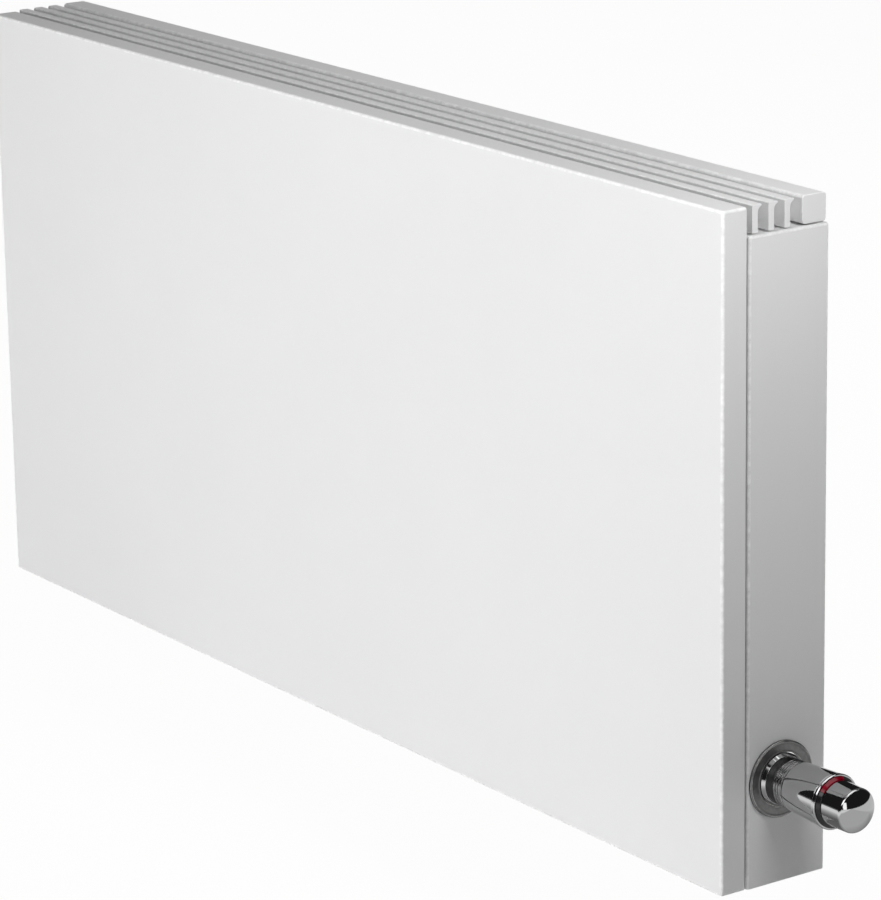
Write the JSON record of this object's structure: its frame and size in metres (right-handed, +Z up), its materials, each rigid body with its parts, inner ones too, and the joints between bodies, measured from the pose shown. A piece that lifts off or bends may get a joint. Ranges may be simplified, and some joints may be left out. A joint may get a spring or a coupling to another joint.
{
  "type": "radiator with valve",
  "caption": "Slim white wall convector: folded front panel, side panels, slotted top grille, finned-tube heat exchanger and a chrome thermostatic valve on its right end.",
  "frame": {"origin": "middle of the upper wall rail's back face, on the wall, 535 mm above the casing's lower edge", "axes": "+X along the casing towards the valve end, +Y into the wall, +Z up"},
  "size_m": [1.3078, 0.116, 0.6015],
  "materials": {
    "paint": "white satin powder coat",
    "white_plastic": "moulded, fine grain",
    "galvanised": "galvanised sheet",
    "steel": "bright zinc",
    "rubber": "matt",
    "aluminium": "rolled",
    "copper": "drawn copper tube",
    "brass": "cast and turned",
    "nickel": "nickel plated",
    "satin_metal": "satin, fine turned lines",
    "dark_metal": "dark chrome",
    "chrome": "polished chrome",
    "black_plastic": "moulded, glossy",
    "red_lens": "clear red, glossy"
  },
  "bodies": {
    "frame": {"panel_clip_1": "white_plastic", "panel_clip_2": "white_plastic", "panel_clip_3": "white_plastic", "panel_clip_4": "white_plastic", "side_panel_left": "paint", "side_panel_right": "paint", "upper_wall_rail": "galvanised", "lower_wall_rail": "galvanised", "casing_screw_1": "steel", "casing_screw_2": "steel", "casing_screw_3": "steel", "casing_screw_4": "steel", "exchanger_bracket_left": "galvanised", "exchanger_bracket_right": "galvanised", "bracket_pad_left": "rubber", "bracket_pad_right": "rubber", "fin_pack": "aluminium", "exchanger_tube_1": "copper", "exchanger_tube_2": "copper", "exchanger_tube_3": "copper", "exchanger_tube_4": "copper", "collector_supply": "brass", "collector_return": "brass", "tailpiece_supply": "brass", "tailpiece_return": "brass", "union_nut_supply": "nickel", "union_nut_return": "nickel", "valve_body": "nickel", "inlet_nut": "nickel", "outlet_nut": "nickel", "lockshield_body": "nickel", "valve_bonnet": "brass", "return_spring": "steel", "stem_seal": "rubber", "rosette": "satin_metal", "head_collar": "chrome", "head_base": "dark_metal", "head_sleeve": "chrome", "indicator_ring": "black_plastic", "indicator_lens": "red_lens"},
    "panel": {"front_panel": "paint"},
    "grille": {"grille_blade_1": "paint", "grille_blade_2": "paint", "grille_blade_3": "paint", "rear_rail": "paint", "rail_cap_left": "paint", "rail_cap_right": "paint", "grille_tie_left": "white_plastic", "grille_tie_centre": "white_plastic", "grille_tie_right": "white_plastic"},
    "knob": {"knob": "chrome", "knob_liner": "black_plastic"},
    "carriage": {"sensor_carriage": "white_plastic", "sensor_capsule": "aluminium", "overtravel_spring": "steel"},
    "stem": {"valve_stem": "steel", "valve_disc": "rubber"},
    "vent": {"vent_screw": "nickel"},
    "shield_cap": {"lockshield_cap": "white_plastic"},
    "spindle": {"lockshield_spindle": "brass"}
  },
  "joints": [
    {"name": "panel_pull", "type": "slide", "parent": "frame", "child": "panel", "axis": [0, -1, 0], "range_m": [0, 0.12]},
    {"name": "grille_lift", "type": "slide", "parent": "frame", "child": "grille", "axis": [0, 0, 1], "range_m": [0, 0.06]},
    {"name": "knob_turn", "type": "hinge", "parent": "frame", "child": "knob", "pos_m": [0.69, -0.052, -0.441], "axis": [1, 0, 0], "range_deg": [-150, 150]},
    {"name": "carriage_shift", "type": "slide", "parent": "frame", "child": "carriage", "axis": [1, 0, 0], "range_m": [-0.0013, 0.0013]},
    {"name": "stem_shift", "type": "slide", "parent": "frame", "child": "stem", "axis": [1, 0, 0], "range_m": [-0.0013, 0.0013]},
    {"name": "vent_turn", "type": "hinge", "parent": "frame", "child": "vent", "pos_m": [-0.508, -0.052, -0.401], "axis": [0, 0, 1], "range_deg": [0, 360]},
    {"name": "shield_cap_turn", "type": "hinge", "parent": "frame", "child": "shield_cap", "pos_m": [-0.585, -0.052, -0.441], "axis": [-1, 0, 0], "range_deg": [0, 720]},
    {"name": "spindle_turn", "type": "hinge", "parent": "frame", "child": "spindle", "pos_m": [-0.575, -0.052, -0.441], "axis": [-1, 0, 0], "range_deg": [-540, 540]}
  ],
  "couplings": [
    {"joint": "carriage_shift", "follows": "knob_turn", "m_per_rad": 0.000477},
    {"joint": "stem_shift", "follows": "knob_turn", "m_per_rad": 0.000477}
  ]
}
